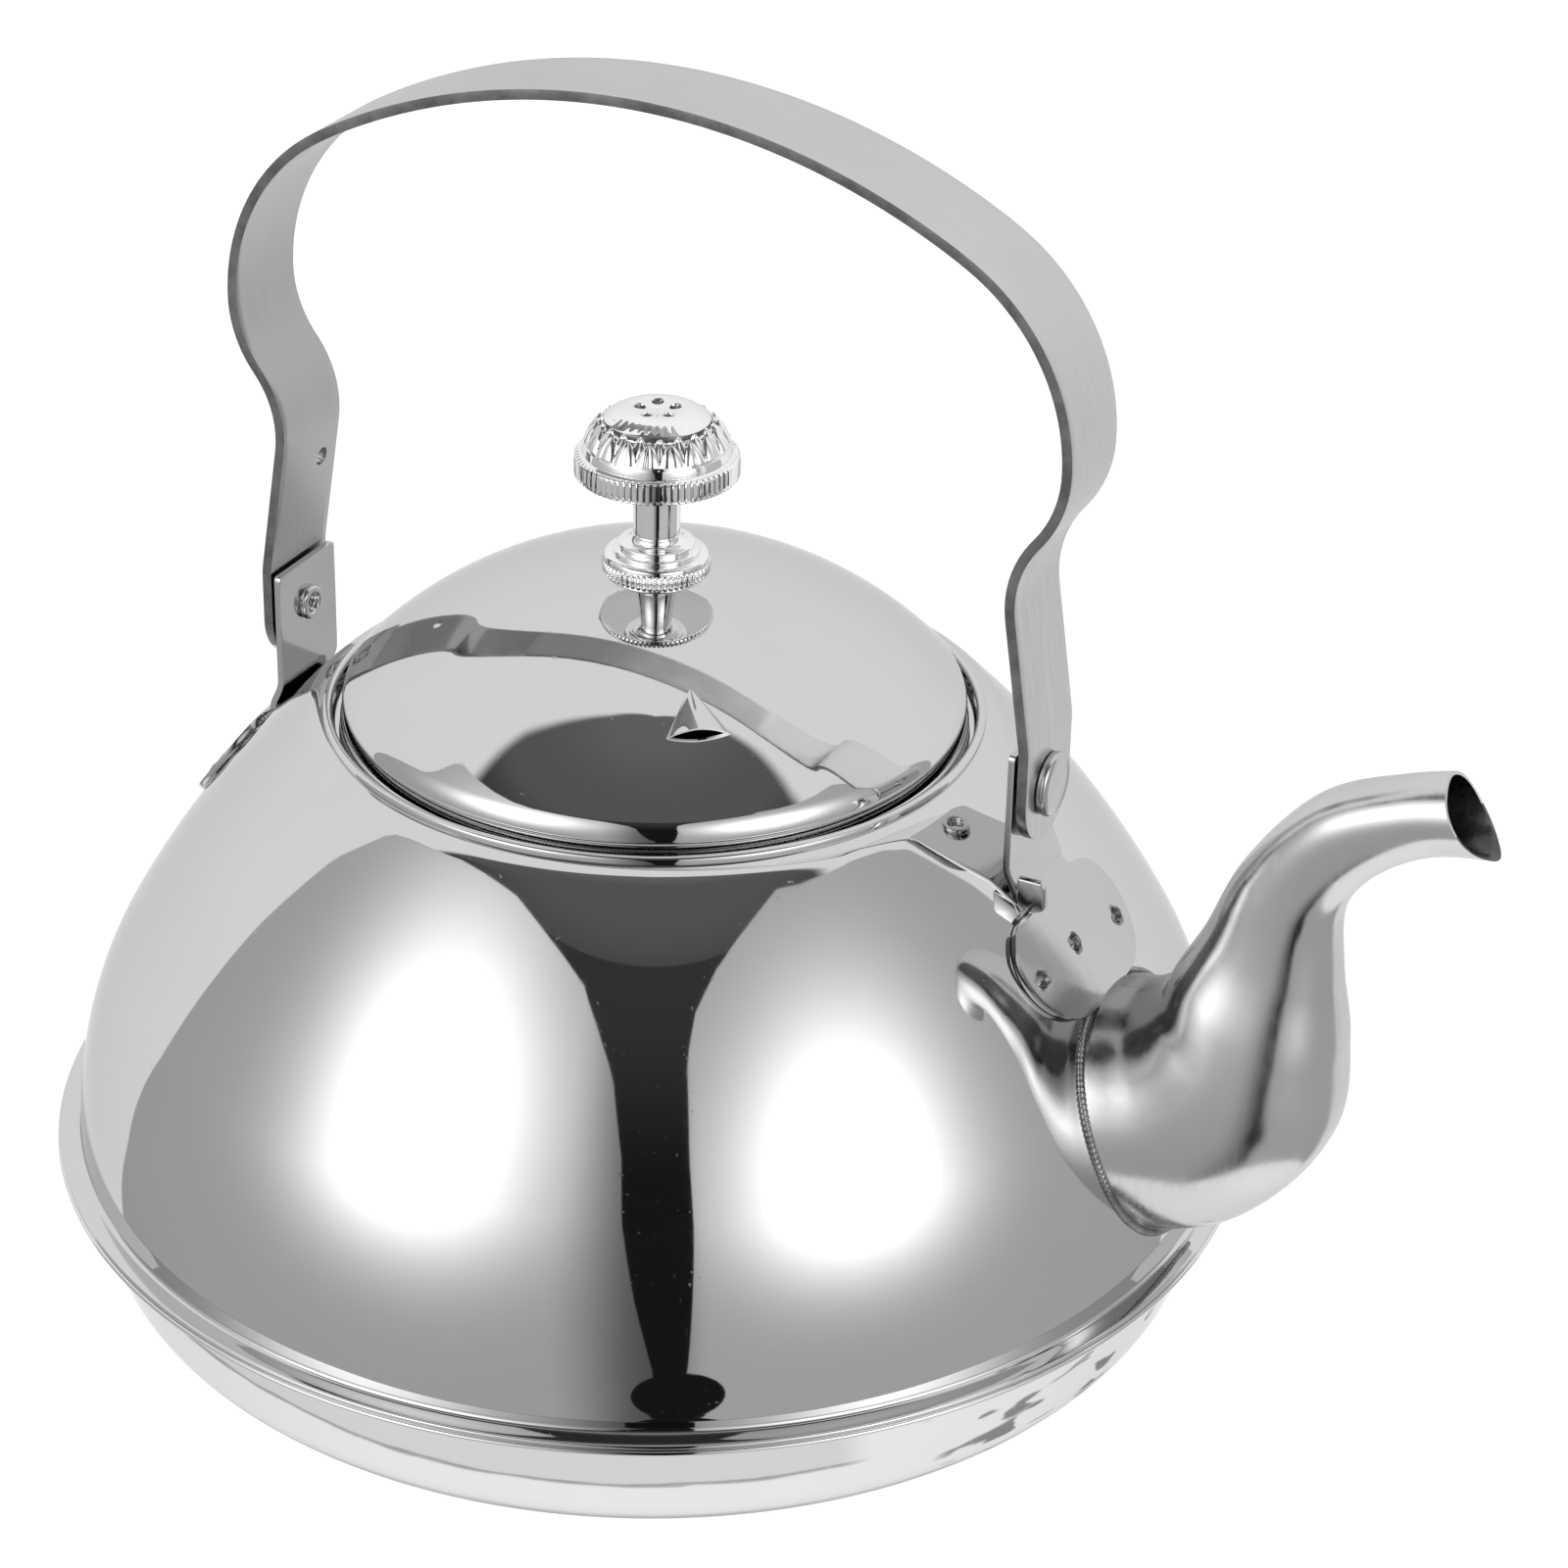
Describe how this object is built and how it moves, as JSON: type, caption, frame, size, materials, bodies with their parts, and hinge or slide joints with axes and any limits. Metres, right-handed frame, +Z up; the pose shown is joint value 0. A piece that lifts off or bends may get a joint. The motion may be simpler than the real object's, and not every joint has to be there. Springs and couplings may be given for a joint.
{
  "type": "stove kettle",
  "caption": "Domed steel stove kettle with a lift-off knobbed lid, a short S-shaped pouring spout and a strap handle that folds down on two riveted brackets.",
  "frame": {"origin": "centre of the flat underside of the base pan", "axes": "+Z up along the body's axis, +X towards the spout, the handle arch in the XZ plane"},
  "size_m": [0.2179, 0.18, 0.1831],
  "materials": {
    "pan_steel": "mirror polished stainless steel",
    "dome_steel": "mirror polished stainless steel",
    "spout_steel": "buffed stainless steel",
    "weld_metal": "dressed weld",
    "bracket_steel": "buffed stainless steel",
    "rivet_steel": "tumbled steel",
    "strap_steel": "satin polished stainless steel",
    "lid_steel": "mirror polished stainless steel",
    "knob_chrome": "bright chrome plating"
  },
  "bodies": {
    "kettle_body": {"base_pan": "pan_steel", "body_dome": "dome_steel", "spout_left_half": "spout_steel", "spout_right_half": "spout_steel", "spout_weld_bead": "weld_metal", "front_bracket": "bracket_steel", "rear_bracket": "bracket_steel", "front_spot_welds": "weld_metal", "rear_spot_welds": "weld_metal", "front_rivet": "rivet_steel", "rear_rivet": "rivet_steel"},
    "handle": {"handle_strap": "strap_steel"},
    "lid": {"lid_shell": "lid_steel", "lid_locating_ring": "lid_steel", "knob_base": "knob_chrome", "knob_stem": "knob_chrome", "knob_knurled_ring": "knob_chrome", "knob_cap": "knob_chrome", "knob_washer": "rivet_steel", "knob_screw": "rivet_steel"}
  },
  "joints": [
    {"name": "handle_fold", "type": "hinge", "parent": "kettle_body", "child": "handle", "pos_m": [0, 0, 0.0915], "axis": [1, 0, 0], "range_deg": [-107, 107]},
    {"name": "lid_lift", "type": "slide", "parent": "kettle_body", "child": "lid", "axis": [0, 0, 1], "range_m": [0, 0.04]}
  ]
}
